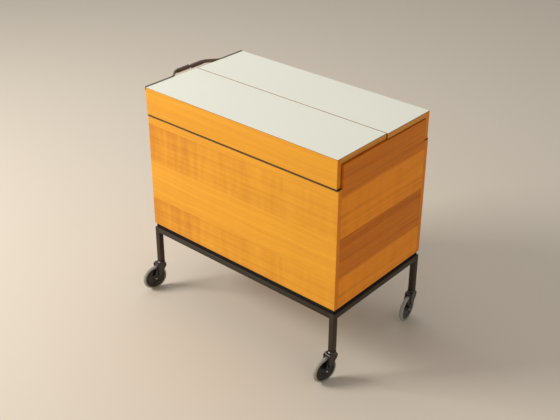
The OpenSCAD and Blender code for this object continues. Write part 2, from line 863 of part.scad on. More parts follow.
wheel_rear_right();
tyre_rear_right();
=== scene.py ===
import math

import bmesh
import bpy
from mathutils import Matrix, Vector


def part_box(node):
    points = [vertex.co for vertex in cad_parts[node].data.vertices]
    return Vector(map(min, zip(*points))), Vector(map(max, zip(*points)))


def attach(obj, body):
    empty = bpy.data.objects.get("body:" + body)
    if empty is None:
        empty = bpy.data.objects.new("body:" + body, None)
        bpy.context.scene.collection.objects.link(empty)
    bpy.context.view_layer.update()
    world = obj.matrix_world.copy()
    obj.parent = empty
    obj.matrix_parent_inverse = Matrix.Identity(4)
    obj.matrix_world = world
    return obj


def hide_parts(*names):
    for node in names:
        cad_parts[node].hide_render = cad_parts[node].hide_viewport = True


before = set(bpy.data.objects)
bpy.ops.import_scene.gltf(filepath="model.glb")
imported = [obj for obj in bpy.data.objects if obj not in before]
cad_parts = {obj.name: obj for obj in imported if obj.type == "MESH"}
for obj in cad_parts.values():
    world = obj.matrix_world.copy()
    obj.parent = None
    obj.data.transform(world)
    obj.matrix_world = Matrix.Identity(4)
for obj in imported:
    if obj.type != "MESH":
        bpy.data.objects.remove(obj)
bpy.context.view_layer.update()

# ---- Case ----
# The four walls are 13 mm boards faced with cherry veneer under a thin satin lacquer.
# The front and rear boards lap over the ends. Inside, the boards are plain beech. The right end's veneer is
# coloured darker and redder than the rest, as painted shade.

MM = 0.001
BOARD_ROUNDING = 0.7 * MM
FASCIA_CLEARANCE = 3 * MM
FACING = 0.9
VENEER_LEAF = 108.5 * MM
LEAF_JOIN_DROP = 315 * MM
LEAF_JOIN_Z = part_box("front_laminate")[1].z - LEAF_JOIN_DROP
AMBER_LIGHT = (0.90, 0.405, 0.022, 1)
AMBER_DARK = (0.62, 0.215, 0.010, 1)
# Right end colours: the same cherry as the other walls, made darker and redder as painted shade.
SHADED_CHERRY_LIGHT = (0.93, 0.295, 0.010, 1)
SHADED_CHERRY_DARK = (0.44, 0.088, 0.002, 1)
BAND_LIGHT = (0.86, 0.28, 0.015, 1)
BAND_DARK = (0.48, 0.11, 0.004, 1)
PORE_BROWN = (0.16, 0.06, 0.015, 1)
BEECH_LIGHT = (0.72, 0.50, 0.29, 1)
BEECH_DARK = (0.56, 0.36, 0.19, 1)
GRAIN_X = (0, 0, 0)
GRAIN_X_FLAT = (math.radians(90), 0, 0)
GRAIN_Y = (0, 0, math.radians(-90))


def add(tree, kind, inputs=None, **settings):
    """Adds a shader node, sets it up, and links or fills its inputs."""
    made = tree.nodes.new("ShaderNode" + kind)
    for key, value in settings.items():
        setattr(made, key, value)
    for key, value in (inputs or {}).items():
        if isinstance(value, bpy.types.NodeSocket):
            tree.links.new(value, made.inputs[key])
        else:
            made.inputs[key].default_value = value
    return made


def calc(tree, operation, *values):
    """One Math node's result."""
    return add(tree, "Math", dict(enumerate(values)), operation=operation).outputs[0]


def mix_colour(tree, factor, first, second, blend="MIX"):
    """One Mix Color node's result."""
    made = add(tree, "Mix", {0: factor, 6: first, 7: second}, data_type="RGBA", blend_type=blend)
    return made.outputs[2]


def noise(tree, vector, scale, detail=2.0, roughness=0.5, distortion=0.0):
    """A noise value from 0 to 1."""
    inputs = {"Vector": vector, "Scale": scale, "Detail": detail, "Roughness": roughness,
              "Distortion": distortion}
    return add(tree, "TexNoise", inputs).outputs[0]


def stretch(tree, vector, scale):
    """The vector with its axes stretched."""
    return add(tree, "Mapping", {"Vector": vector, "Scale": scale}).outputs[0]


def effect(name, inputs, outputs):
    """An empty node group with the named inputs (name: default) and outputs (name: kind)."""
    group = bpy.data.node_groups.new(name, "ShaderNodeTree")
    for label, default in inputs.items():
        kind = "NodeSocketFloat"
        if isinstance(default, tuple):
            kind = "NodeSocketColor" if len(default) == 4 else "NodeSocketVector"
        socket = group.interface.new_socket(label, in_out="INPUT", socket_type=kind)
        socket.default_value = default
    for label, kind in outputs.items():
        group.interface.new_socket(label, in_out="OUTPUT", socket_type="NodeSocket" + kind)
    return group, group.nodes.new("NodeGroupInput").outputs, group.nodes.new("NodeGroupOutput").inputs


def make_wood_figure():
    """Veneer or solid wood: X runs along the grain and Z across it, in metres.

    Leaves of veneer lie side by side across the grain, every other one cut from the same flitch,
    so that they repeat. One kind is nearly plain. The other has a cross figure, strongest in its
    blocks.
    """
    inputs = {
        "Vector": (0.0, 0.0, 0.0), "Leaf": 1.0, "Leaf Contrast": 0.0, "Figure": 0.5, "Block": 0.0,
        "Seed": 0.0, "Light": (0.8, 0.5, 0.2, 1.0), "Dark": (0.5, 0.3, 0.1, 1.0),
    }
    outputs = {"Color": "Color", "Height": "Float", "Gloss": "Float"}
    tree, given, result = effect("wood_figure", inputs, outputs)
    place = add(tree, "SeparateXYZ", {0: given["Vector"]}).outputs
    leaves = calc(tree, "DIVIDE", place[2], given["Leaf"])
    leaf = calc(tree, "FLOOR", leaves)
    within = calc(tree, "MULTIPLY", calc(tree, "SUBTRACT", leaves, leaf), given["Leaf"])
    figured = calc(tree, "FLOORED_MODULO", leaf, 2.0)
    depth = calc(tree, "ADD", calc(tree, "MULTIPLY", figured, 7.3), given["Seed"])
    cut = add(tree, "CombineXYZ", {0: place[0], 1: depth, 2: within}).outputs[0]
    wander = noise(tree, stretch(tree, cut, (2.2, 1, 9)), 1.0, 2)
    bent = calc(tree, "ADD", within, calc(tree, "MULTIPLY", calc(tree, "SUBTRACT", wander, 0.5), 0.03))
    flow = add(tree, "CombineXYZ", {0: place[0], 1: depth, 2: bent}).outputs[0]
    rings = noise(tree, stretch(tree, flow, (1.3, 1, 95)), 1.0, 3, 0.62)
    fibres = noise(tree, stretch(tree, flow, (9, 1, 900)), 1.0, 3, 0.7)
    bars = noise(tree, stretch(tree, cut, (42, 1, 5)), 1.0, 2, 0.55, 0.4)
    block = calc(tree, "MULTIPLY", given["Block"], figured)
    amount = calc(tree, "ADD", calc(tree, "MULTIPLY", block, 1.3), calc(tree, "MULTIPLY", figured, 0.35))
    amount = calc(tree, "ADD", amount, 0.12)
    cross = calc(tree, "MULTIPLY", calc(tree, "SUBTRACT", bars, 0.5), amount)
    cross = calc(tree, "ADD", cross, calc(tree, "MULTIPLY", block, 0.5))
    cross = calc(tree, "MULTIPLY", cross, given["Figure"])
    tone = calc(tree, "SUBTRACT", rings, 0.5)
    tone = calc(tree, "ADD", tone, calc(tree, "MULTIPLY", calc(tree, "SUBTRACT", fibres, 0.5), 0.7))
    tone = calc(tree, "ADD", tone, cross)
    lift = calc(tree, "MULTIPLY", calc(tree, "SUBTRACT", figured, 0.5), given["Leaf Contrast"])
    tone = calc(tree, "ADD", calc(tree, "ADD", tone, lift), 0.34)
    edge = calc(tree, "SUBTRACT", 1.0, add(tree, "MapRange", {
        0: calc(tree, "MINIMUM", within, calc(tree, "SUBTRACT", given["Leaf"], within)),
        1: 0.0, 2: 0.0011, 3: 0.0, 4: 1.0}).outputs[0])
    tone = calc(tree, "ADD", tone, calc(tree, "MULTIPLY", edge, 0.16))
    tone = add(tree, "Clamp", {0: tone}).outputs[0]
    specks = noise(tree, stretch(tree, flow, (60, 1, 2600)), 1.0, 1)
    pores = add(tree, "MapRange", {0: specks, 1: 0.62, 2: 0.8}).outputs[0]
    colour = mix_colour(tree, tone, given["Light"], given["Dark"])
    colour = mix_colour(tree, calc(tree, "MULTIPLY", pores, 0.22), colour, PORE_BROWN)
    height = calc(tree, "SUBTRACT", calc(tree, "MULTIPLY", fibres, 0.5), calc(tree, "MULTIPLY", pores, 0.5))
    tree.links.new(colour, result["Color"])
    tree.links.new(height, result["Height"])
    tree.links.new(calc(tree, "MULTIPLY", rings, 0.1), result["Gloss"])
    return tree


def make_handling():
    """Uneven sheen from years of hands and dusters: soft blotches and fine scratches, 0 to 1."""
    inputs = {"Vector": (0.0, 0.0, 0.0), "Scale": 1.0}
    tree, given, result = effect("handling", inputs, {"Blotch": "Float", "Scratch": "Float"})
    blotch = noise(tree, given["Vector"], calc(tree, "MULTIPLY", given["Scale"], 9.0), 4, 0.6)
    scratch = noise(tree, stretch(tree, given["Vector"], (22, 300, 180)), given["Scale"], 2, 0.6)
    tree.links.new(blotch, result["Blotch"])
    tree.links.new(add(tree, "MapRange", {0: scratch, 1: 0.62, 2: 0.72}).outputs[0], result["Scratch"])
    return tree


wood_figure = make_wood_figure()
handling = make_handling()


def new_material(name):
    """A material with its tree, its Principled shader and the object coordinates."""
    made = bpy.data.materials.new(name)
    made.use_nodes = True
    tree = made.node_tree
    shader = tree.nodes["Principled BSDF"]
    place = add(tree, "TexCoord").outputs["Object"]
    return made, tree, shader, place


def use_effect(tree, group, inputs):
    """Places a shared effect in a material."""
    made = tree.nodes.new("ShaderNodeGroup")
    made.node_tree = group
    for key, value in inputs.items():
        if isinstance(value, bpy.types.NodeSocket):
            tree.links.new(value, made.inputs[key])
        else:
            made.inputs[key].default_value = value
    return made.outputs


def wood(name, turn, zero=(0, 0, 0), leaf=1.0, contrast=0.0, figure=0.5, seed=0.0,
         light=AMBER_LIGHT, dark=AMBER_DARK, roughness=0.4, gloss=0.3, blocks=()):
    """A wood finish. turn brings the grain to X and the width to Z, zero is where the leaves start.

    blocks lists how dark the figured leaves are along the grain, as places in metres and shares.
    """
    made, tree, shader, place = new_material(name)
    turned = add(tree, "Mapping", {"Vector": place, "Rotation": turn, "Location": zero}).outputs[0]
    grain = use_effect(tree, wood_figure, {
        "Vector": turned, "Leaf": leaf, "Leaf Contrast": contrast, "Figure": figure, "Seed": seed,
        "Light": light, "Dark": dark})
    if blocks:
        first, last = blocks[0][0], blocks[-1][0]
        along = add(tree, "SeparateXYZ", {0: turned}).outputs[0]
        along = add(tree, "MapRange", {0: along, 1: first, 2: last}).outputs[0]
        ramp = add(tree, "ValToRGB", {0: along})
        ramp.color_ramp.interpolation = "EASE"
        for _ in blocks[2:]:
            ramp.color_ramp.elements.new(0.5)
        for stop, (at, share) in zip(ramp.color_ramp.elements, blocks):
            stop.position = (at - first) / (last - first)
            stop.color = (share, share, share, 1)
        tree.links.new(ramp.outputs[0], grain["Color"].node.inputs["Block"])
    touched = use_effect(tree, handling, {"Vector": place, "Scale": 0.7})
    tint = calc(tree, "ADD", 0.94, calc(tree, "MULTIPLY", touched["Blotch"], 0.12))
    grey = add(tree, "CombineColor", {0: tint, 1: tint, 2: tint}).outputs[0]
    shade = mix_colour(tree, 1.0, grain["Color"], grey, "MULTIPLY")
    tree.links.new(shade, shader.inputs["Base Color"])
    rough = calc(tree, "ADD", grain["Gloss"], roughness - 0.05)
    rough = calc(tree, "ADD", rough, calc(tree, "MULTIPLY", touched["Blotch"], 0.08))
    tree.links.new(rough, shader.inputs["Roughness"])
    shader.inputs["Specular IOR Level"].default_value = gloss
    bump = add(tree, "Bump", {"Strength": 0.25, "Distance": 0.00025, "Height": grain["Height"]})
    tree.links.new(bump.outputs[0], shader.inputs["Normal"])
    return made


def as_piece(name, bm, body, materials, nodes=(), smooth_angle=None):
    """Turns a bmesh into a piece that rides on a body and stands for CAD nodes."""
    bmesh.ops.recalc_face_normals(bm, faces=bm.faces)
    mesh = bpy.data.meshes.new(name)
    bm.to_mesh(mesh)
    bm.free()
    for material in materials:
        mesh.materials.append(material)
    if smooth_angle:
        mesh.polygons.foreach_set("use_smooth", [True] * len(mesh.polygons))
        mesh.set_sharp_from_angle(angle=math.radians(smooth_angle))
    piece = bpy.data.objects.new(name, mesh)
    bpy.context.scene.collection.objects.link(piece)
    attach(piece, body)
    if nodes:
        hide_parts(*nodes)
    return piece


def round_edges(bm, edges, rounding, segments=2):
    """Rounds edges over a small radius."""
    bmesh.ops.bevel(bm, geom=edges, offset=rounding, offset_type="OFFSET", segments=segments,
                    profile=0.5, affect="EDGES", material=-1, clamp_overlap=True)


def add_block(bm, low, high, rounding, segments=2):
    """A box between two corners with its edges rounded. Returns its faces."""
    old = set(bm.faces)
    verts = bmesh.ops.create_cube(bm, size=1)["verts"]
    bmesh.ops.scale(bm, vec=Vector(high) - Vector(low), verts=verts)
    bmesh.ops.translate(bm, vec=(Vector(high) + Vector(low)) / 2, verts=verts)
    if rounding:
        round_edges(bm, list({e for v in verts for e in v.link_edges}), rounding, segments)
    return [f for f in bm.faces if f not in old]


def paint_facing(faces, direction, index):
    """Gives the faces that look in a direction another material."""
    for face in faces:
        face.normal_update()
        if face.normal.dot(Vector(direction)) > FACING:
            face.material_index = index


def extruded(bm, outline, axis, thickness):
    """A solid from a flat outline, pushed along an axis. Returns its faces."""
    old = set(bm.faces)
    face = bm.faces.new([bm.verts.new(p) for p in outline])
    pushed = bmesh.ops.extrude_face_region(bm, geom=[face])["geom"]
    verts = [g for g in pushed if isinstance(g, bmesh.types.BMVert)]
    bmesh.ops.translate(bm, vec=Vector(axis) * thickness, verts=verts)
    return [f for f in bm.faces if f not in old]


BODY = "case_and_frame"
inner_beech = wood("inner_beech", GRAIN_X, light=BEECH_LIGHT, dark=BEECH_DARK, figure=0.2, seed=3.1,
                   roughness=0.55, gloss=0.2)
inner_beech_ends = wood("inner_beech_ends", GRAIN_Y, light=BEECH_LIGHT, dark=BEECH_DARK, figure=0.2,
                        seed=4.7, roughness=0.55, gloss=0.2)
leaf_zero = (0, 0, -LEAF_JOIN_Z)
left_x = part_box("front_panel")[0].x
right_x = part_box("front_panel")[1].x
front_blocks = [
    (left_x, 0.8), (left_x + 172 * MM, 0.7), (left_x + 180 * MM, 0.1), (left_x + 250 * MM, 0.25),
    (left_x + 256 * MM, 0.45), (left_x + 466 * MM, 0.35), (left_x + 476 * MM, 0.0), (right_x, 0.2)]
rear_blocks = [
    (left_x, 0.1), (left_x + 210 * MM, 0.3), (left_x + 218 * MM, 0.7), (left_x + 390 * MM, 0.5),
    (left_x + 400 * MM, 0.0), (right_x, 0.4)]
front_veneer = wood("front_veneer", GRAIN_X, leaf_zero, VENEER_LEAF, 0.1, 0.8, 1.4, blocks=front_blocks)
rear_veneer = wood("rear_veneer", GRAIN_X, leaf_zero, VENEER_LEAF, 0.1, 0.8, 9.2, blocks=rear_blocks)
# The right end board gets darker, redder colours than the other walls: painted shade on that side.
shaded_right_end_veneer = wood("shaded_right_end_veneer", GRAIN_Y, leaf_zero, VENEER_LEAF, -0.55, 0.8, 5.6, SHADED_CHERRY_LIGHT,
                        SHADED_CHERRY_DARK, gloss=0.2)
left_end_veneer = wood("left_end_veneer", GRAIN_Y, leaf_zero, VENEER_LEAF, -0.3, 0.8, 15.1)
edge_band = wood("edge_band", (0, math.radians(90), 0), seed=8.8, figure=0.3,
                 light=BAND_LIGHT, dark=BAND_DARK, gloss=0.2)

for side, veneer in (("front", front_veneer), ("rear", rear_veneer)):
    low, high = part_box(side + "_panel")
    bm = bmesh.new()
    faces = add_block(bm, low, high, BOARD_ROUNDING)
    inward = 1 if side == "front" else -1
    paint_facing(faces, (0, inward, 0), 1)
    paint_facing(faces, (1, 0, 0), 2)
    paint_facing(faces, (-1, 0, 0), 2)
    as_piece(side + "_board", bm, BODY, [veneer, inner_beech, edge_band], [side + "_panel"])

# An end board narrows above the hinge line, so that the fascias close over it with a dark gap.
front_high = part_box("front_panel")[1]
fascia_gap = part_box("left_end_panel")[0].y - front_high.y + FASCIA_CLEARANCE
for side, outward, end_veneer in (("left", -1, left_end_veneer), ("right", 1, shaded_right_end_veneer)):
    low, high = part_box(side + "_end_panel")
    shoulder_z = front_high.z
    bm = bmesh.new()
    outline = [
        (low.x, low.y, low.z), (low.x, high.y, low.z), (low.x, high.y, shoulder_z),
        (low.x, high.y - fascia_gap, shoulder_z), (low.x, high.y - fascia_gap, high.z),
        (low.x, low.y + fascia_gap, high.z), (low.x, low.y + fascia_gap, shoulder_z),
        (low.x, low.y, shoulder_z)]
    extruded(bm, outline, (1, 0, 0), high.x - low.x)
    bmesh.ops.recalc_face_normals(bm, faces=bm.faces)
    round_edges(bm, bm.edges[:], BOARD_ROUNDING * 0.7)
    paint_facing(bm.faces, (-outward, 0, 0), 1)
    as_piece(side + "_end_board", bm, BODY, [end_veneer, inner_beech_ends],
             [side + "_end_panel"])

bm = bmesh.new()
add_block(bm, *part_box("bottom_panel"), 0.4 * MM)
as_piece("bottom_board", bm, BODY, [inner_beech], ["bottom_panel"])

# ---- Lid leaves ----
# Each leaf is a board with a fascia glued under its outer edge and a sheet of pale laminate on
# top. The laminate's brown core shows as a thin line all round.

LAMINATE_PALE = (0.74, 0.735, 0.63, 1)
LAMINATE_CORE = (0.27, 0.12, 0.03, 1)


def make_laminate(name, colour, roughness):
    """Satin laminate: even colour with faint cloudiness and a fine orange-peel surface."""
    made, tree, shader, place = new_material(name)
    touched = use_effect(tree, handling, {"Vector": place, "Scale": 0.5})
    faint = calc(tree, "ADD", 0.975, calc(tree, "MULTIPLY", touched["Blotch"], 0.05))
    grey = add(tree, "CombineColor", {0: faint, 1: faint, 2: faint}).outputs[0]
    tree.links.new(mix_colour(tree, 1.0, colour, grey, "MULTIPLY"), shader.inputs["Base Color"])
    sheen = calc(tree, "ADD", roughness - 0.04, calc(tree, "MULTIPLY", touched["Blotch"], 0.08))
    sheen = calc(tree, "ADD", sheen, calc(tree, "MULTIPLY", touched["Scratch"], 0.05))
    tree.links.new(sheen, shader.inputs["Roughness"])
    peel = noise(tree, place, 900.0, 2)
    bump = add(tree, "Bump", {"Strength": 0.12, "Distance": 0.0002, "Height": peel})
    tree.links.new(bump.outputs[0], shader.inputs["Normal"])
    return made


pale_laminate = make_laminate("pale_laminate", LAMINATE_PALE, 0.4)
laminate_core = make_laminate("laminate_core", LAMINATE_CORE, 0.6)
leaf_underside = wood("leaf_underside", GRAIN_X_FLAT, light=BEECH_LIGHT, dark=BEECH_DARK, figure=0.2,
                      seed=6.6, roughness=0.55, gloss=0.2)
leaf_end_band = wood("leaf_end_band", GRAIN_Y, figure=0.3, seed=2.9, light=(0.80, 0.34, 0.05, 1),
                     dark=(0.42, 0.13, 0.015, 1))
leaf_lipping = wood("leaf_lipping", GRAIN_X, figure=0.2, seed=3.3, light=(0.55, 0.23, 0.04, 1),
                    dark=(0.30, 0.10, 0.015, 1))
front_fascia_veneer = wood("front_fascia_veneer", GRAIN_X, (0.3, 0, 0), figure=0.35, seed=7.7)
rear_fascia_veneer = wood("rear_fascia_veneer", GRAIN_X, (0.3, 0, 0), figure=0.35, seed=12.4)

for side, veneer in (("front", front_fascia_veneer), ("rear", rear_fascia_veneer)):
    body = side + "_lid"
    inward = 1 if side == "front" else -1
    bm = bmesh.new()
    faces = add_block(bm, *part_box(side + "_laminate"), 0.45 * MM, 2)
    for face in faces:
        face.normal_update()
        face.material_index = 0 if face.normal.z > 0.95 else 1
    as_piece(side + "_top_sheet", bm, body, [pale_laminate, laminate_core], [side + "_laminate"])

    bm = bmesh.new()
    faces = add_block(bm, *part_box(side + "_lid_board"), 0.4 * MM)
    paint_facing(faces, (1, 0, 0), 1)
    paint_facing(faces, (-1, 0, 0), 1)
    paint_facing(faces, (0, inward, 0), 2)
    as_piece(side + "_leaf_board", bm, body, [leaf_underside, leaf_end_band, leaf_lipping],
             [side + "_lid_board"])

    bm = bmesh.new()
    faces = add_block(bm, *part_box(side + "_fascia"), BOARD_ROUNDING * 0.8)
    paint_facing(faces, (0, inward, 0), 1)
    paint_facing(faces, (1, 0, 0), 2)
    paint_facing(faces, (-1, 0, 0), 2)
    as_piece(side + "_fascia_board", bm, body, [veneer, inner_beech, edge_band],
             [side + "_fascia"])

# ---- Hinges and screws ----
# Two piano hinges in blackened steel run the full width, with countersunk screws. Their
# knuckles stand just outside the faces and show as a dark line under each fascia. The sockets
# in the legs, which hold the castors' stems, have the same dark finish.


def make_metal(name, colour, roughness, metallic=1.0, wear=0.0, bright=(0.5, 0.5, 0.5, 1)):
    """Bare or blackened metal, with an uneven sheen and rubbed spots."""
    made, tree, shader, place = new_material(name)
    touched = use_effect(tree, handling, {"Vector": place, "Scale": 6.0})
    rubbed = add(tree, "MapRange", {0: touched["Blotch"], 1: 0.55, 2: 0.75, 4: wear}).outputs[0]
    tree.links.new(mix_colour(tree, rubbed, colour, bright), shader.inputs["Base Color"])
    sheen = calc(tree, "ADD", roughness, calc(tree, "MULTIPLY", touched["Blotch"], 0.15))
    tree.links.new(sheen, shader.inputs["Roughness"])
    shader.inputs["Metallic"].default_value = metallic
    bump = add(tree, "Bump", {"Strength": 0.15, "Distance": 0.0002, "Height": touched["Scratch"]})
    tree.links.new(bump.outputs[0], shader.inputs["Normal"])
    return made


dark_steel = make_metal("dark_steel", (0.045, 0.028, 0.018, 1), 0.45, 0.6, 0.25, (0.12, 0.09, 0.06, 1))
zinc_steel = make_metal("zinc_steel", (0.58, 0.57, 0.55, 1), 0.3, 1.0, 0.3, (0.42, 0.41, 0.39, 1))


def finish_node(node, material):
    """Gives a carried-over CAD node its finish."""
    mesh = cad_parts[node].data
    mesh.materials.clear()
    mesh.materials.append(material)


for node in ("front_hinge_plate", "rear_hinge_plate", "front_hinge_flap", "rear_hinge_flap", "hinge_pins"):
    finish_node(node, dark_steel)
for node in ("case_screws", "front_lid_screws", "rear_lid_screws", "frame_screws"):
    finish_node(node, zinc_steel)
finish_node("castor_sockets", dark_steel)

# ---- Handle ----
# A flat steel strap in dark grey-brown enamel runs along the left end of each leaf and bows out
# to the middle, where a moulded brown sleeve covers it. The two halves meet at the split.

SLEEVE_ROUNDING = 1.8 * MM
DUST_GREY = (0.12, 0.10, 0.08, 1)
CHIP_GREY = (0.14, 0.11, 0.09, 1)


def make_enamel(name, colour, roughness, gloss=0.35):
    """Baked enamel on steel: slightly uneven gloss, fine dust in the lee, small chips."""
    made, tree, shader, place = new_material(name)
    touched = use_effect(tree, handling, {"Vector": place, "Scale": 3.0})
    grain = noise(tree, place, 260.0, 3)
    dusty = calc(tree, "MULTIPLY", touched["Blotch"], 0.1)
    shade = mix_colour(tree, dusty, colour, DUST_GREY)
    chip = add(tree, "MapRange", {0: noise(tree, place, 420.0, 2, 0.7), 1: 0.72, 2: 0.76, 4: 0.5}).outputs[0]
    shade = mix_colour(tree, chip, shade, CHIP_GREY)
    tree.links.new(shade, shader.inputs["Base Color"])
    sheen = calc(tree, "ADD", roughness, calc(tree, "MULTIPLY", touched["Blotch"], 0.16))
    tree.links.new(sheen, shader.inputs["Roughness"])
    shader.inputs["Specular IOR Level"].default_value = gloss
    bump = add(tree, "Bump", {"Strength": 0.2, "Distance": 0.0003, "Height": grain})
    tree.links.new(bump.outputs[0], shader.inputs["Normal"])
    return made


black_enamel = make_enamel("black_enamel", (0.028, 0.019, 0.010, 1), 0.38, 0.28)
SHARP_ANGLE = 40
strap_enamel = make_enamel("strap_enamel", (0.13, 0.115, 0.095, 1), 0.36, 0.5)
sleeve_brown = make_enamel("sleeve_brown", (0.075, 0.055, 0.038, 1), 0.36, 0.6)


def merged_copy(node, rounding, least_edge):
    """A copy of a CAD node with its doubles merged and its long sharp edges rounded."""
    bm = bmesh.new()
    bm.from_mesh(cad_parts[node].data)
    bmesh.ops.remove_doubles(bm, verts=bm.verts, dist=2e-6)
    bmesh.ops.dissolve_limit(bm, angle_limit=math.radians(0.5), verts=bm.verts, edges=bm.edges)
    sharp = [e for e in bm.edges if e.is_manifold and e.calc_length() > least_edge
             and e.calc_face_angle(0) > math.radians(SHARP_ANGLE)]
    round_edges(bm, sharp, rounding)
    return bm


for side in ("front", "rear"):
    body = side + "_lid"
    as_piece(side + "_strap", merged_copy(side + "_handle_strap", 0.5 * MM, 1.5 * MM), body,
             [strap_enamel], [side + "_handle_strap"], 35)
    low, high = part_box(side + "_handle_sleeve")
    bm = bmesh.new()
    add_block(bm, low, high, 0)
    long_edges = [e for e in bm.edges if abs(e.verts[0].co.y - e.verts[1].co.y) > 1 * MM]
    round_edges(bm, long_edges, (high.x - low.x) * 0.48, 6)
    rims = [e for e in bm.edges if abs(e.verts[0].co.y - e.verts[1].co.y) < 1e-6]
    round_edges(bm, rims, SLEEVE_ROUNDING, 3)
    as_piece(side + "_sleeve", bm, body, [sleeve_brown], [side + "_handle_sleeve"], 50)

# ---- Trays ----
# Two half-depth beech trays slide on waxed runners: the upper one has small bays, spool pins
# and a long bay, the lower one four wide bays. Dividers stand loose in them.

tray_beech = wood("tray_beech", GRAIN_X, light=BEECH_LIGHT, dark=BEECH_DARK, figure=0.25, seed=14.2,
                  roughness=0.5, gloss=0.25)
tray_base_beech = wood("tray_base_beech", GRAIN_X_FLAT, light=BEECH_LIGHT, dark=BEECH_DARK, figure=0.3,
                       seed=17.9, roughness=0.5, gloss=0.25)
runner_beech = wood("runner_beech", GRAIN_Y, light=BEECH_LIGHT, dark=BEECH_DARK, figure=0.2, seed=19.3,
                    roughness=0.45, gloss=0.3)
for tray in ("upper_tray", "lower_tray"):
    for part, material in (("walls", tray_beech), ("base", tray_base_beech), ("dividers", tray_beech)):
        node = tray + "_" + part
        bm = merged_copy(node, 0.5 * MM, 3 * MM)
        as_piece(node + "_wood", bm, tray, [material], [node])
    node = tray.replace("tray", "runners")
    bm = merged_copy(node, 0.6 * MM, 5 * MM)
    as_piece(node + "_wood", bm, BODY, [runner_beech], [node])
as_piece("spool_pins_turned", merged_copy("spool_pins", 0.9 * MM, 0.1 * MM), "upper_tray",
         [tray_beech], ["spool_pins"], 50)

# ---- Base frame ----
# A welded rectangle of 15 mm square steel tube with four legs, enamelled black-brown. Battens
# lift the case off it, which leaves a gap; their near-black colour is painted shade that makes the gap dark.

TUBE_ROUNDING = 1.3 * MM
WELD_STEP = 0.1 * MM
RAIL_OVERLAP = 4 * MM
# Near-black batten colour: painted shade for the gap between case and frame.
gap_shade_black = make_enamel("gap_shade_black", (0.006, 0.005, 0.004, 1), 0.8, 0.15)

leg_names = [f"leg_{row}_{side}" for row in ("front", "rear") for side in ("left", "right")]
for name in leg_names:
    bm = bmesh.new()
    add_block(bm, *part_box(name), TUBE_ROUNDING, 3)
    as_piece(name + "_tube", bm, BODY, [black_enamel], [name], 30)
for name, along in (("front_rail", 0), ("rear_rail", 0), ("left_rail", 1), ("right_rail", 1)):
    low, high = (Vector(corner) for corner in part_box(name))
    for axis in range(3):
        grow = RAIL_OVERLAP if axis == along else -WELD_STEP
        low[axis] -= grow
        high[axis] += grow
    bm = bmesh.new()
    add_block(bm, low, high, TUBE_ROUNDING, 3)
    as_piece(name + "_tube", bm, BODY, [black_enamel], [name], 30)
bm = merged_copy("battens", 0.5 * MM, 8 * MM)
as_piece("plinth_battens", bm, BODY, [gap_shade_black], ["battens"])

# ---- Castors ----
# Each castor is a pressed steel fork, enamelled black, on a swivel stem, with a moulded wheel
# and a grey rubber tyre that turn on a riveted axle. They trail forwards as the box was left.

CASTOR_TURN = {"front_left": -15, "front_right": -11, "rear_left": -2, "rear_right": 6}
TRAIL = 22.5 * MM
WHEEL_R = 35 * MM
TYRE_W = 10.5 * MM
TYRE_T = 5.5 * MM
TYRE_ROUND = 5 * MM
RIM_HALF = TYRE_W / 2 - 2 * MM
HUB_HALF = TYRE_W / 2 + 1.4 * MM
ARM_T = 2.5 * MM
ARM_IN = TYRE_W / 2 + 2 * MM
ARM_OUT = ARM_IN + ARM_T
EYE_R = 6.5 * MM
LIP_Z = 70.8 * MM
HOOD_TOP = 79.2 * MM
HOOD_FRONT = 17 * MM
HOOD_BACK = 10.5 * MM
HOOD_ROUND = 6 * MM
LIP_ROUND = 2.2 * MM
BEARING_TOP = 81.2 * MM
BEARING_R = 10.5 * MM
STEM_R = 4 * MM
STEM_TOP = 113.5 * MM
AXLE_R = 2.5 * MM

castor_enamel = make_enamel("castor_enamel", (0.014, 0.011, 0.008, 1), 0.22, 0.7)
bearing_steel = make_metal("bearing_steel", (0.13, 0.125, 0.115, 1), 0.34, 0.9)
rivet_steel = make_metal("rivet_steel", (0.36, 0.34, 0.30, 1), 0.4, 0.9)
tyre_rubber = make_enamel("tyre_rubber", (0.34, 0.325, 0.27, 1), 0.6)
wheel_moulding = make_enamel("wheel_moulding", (0.009, 0.007, 0.006, 1), 0.2, 0.5)


def arc(centre, radius, start, end, steps):
    """Points on an arc in the YZ plane, angles in degrees."""
    turns = [math.radians(start + (end - start) * i / steps) for i in range(steps + 1)]
    return [(0, centre[0] + radius * math.cos(t), centre[1] + radius * math.sin(t)) for t in turns]


def spun(bm, profile, centre, steps):
    """Spins a closed profile of (radius, x) points round the axle. Returns its new vertices."""
    old = set(bm.verts)
    ring = [bm.verts.new((x, 0, radius)) for radius, x in profile]
    edges = [bm.edges.new((ring[i], ring[(i + 1) % len(ring)])) for i in range(len(ring))]
    bmesh.ops.spin(bm, geom=ring + edges, cent=(0, 0, 0), axis=(1, 0, 0), angle=math.radians(360),
                   steps=steps, use_merge=True)
    fresh = [v for v in bm.verts if v not in old]
    bmesh.ops.translate(bm, vec=centre, verts=fresh)
    return fresh


def both_ways(half):
    """A profile and its mirror image in x, as one closed outline."""
    return half + [(radius, -x) for radius, x in reversed(half)]


def stand_up(bm, verts):
    """Turns what was spun round X to stand round Z."""
    bmesh.ops.rotate(bm, cent=(0, 0, 0), matrix=Matrix.Rotation(math.radians(-90), 3, "Y"), verts=verts)


def hood_outline(inset):
    """The hood seen from the side: flat lip in front, flat top and a round back."""
    high, back, radius = HOOD_TOP - inset, HOOD_BACK - inset, HOOD_ROUND - inset
    front = -HOOD_FRONT + inset
    nose = arc((front + LIP_ROUND, high - LIP_ROUND), LIP_ROUND, 180, 90, 4)
    return nose + arc((back - radius, high - radius), radius, 90, 0, 6)


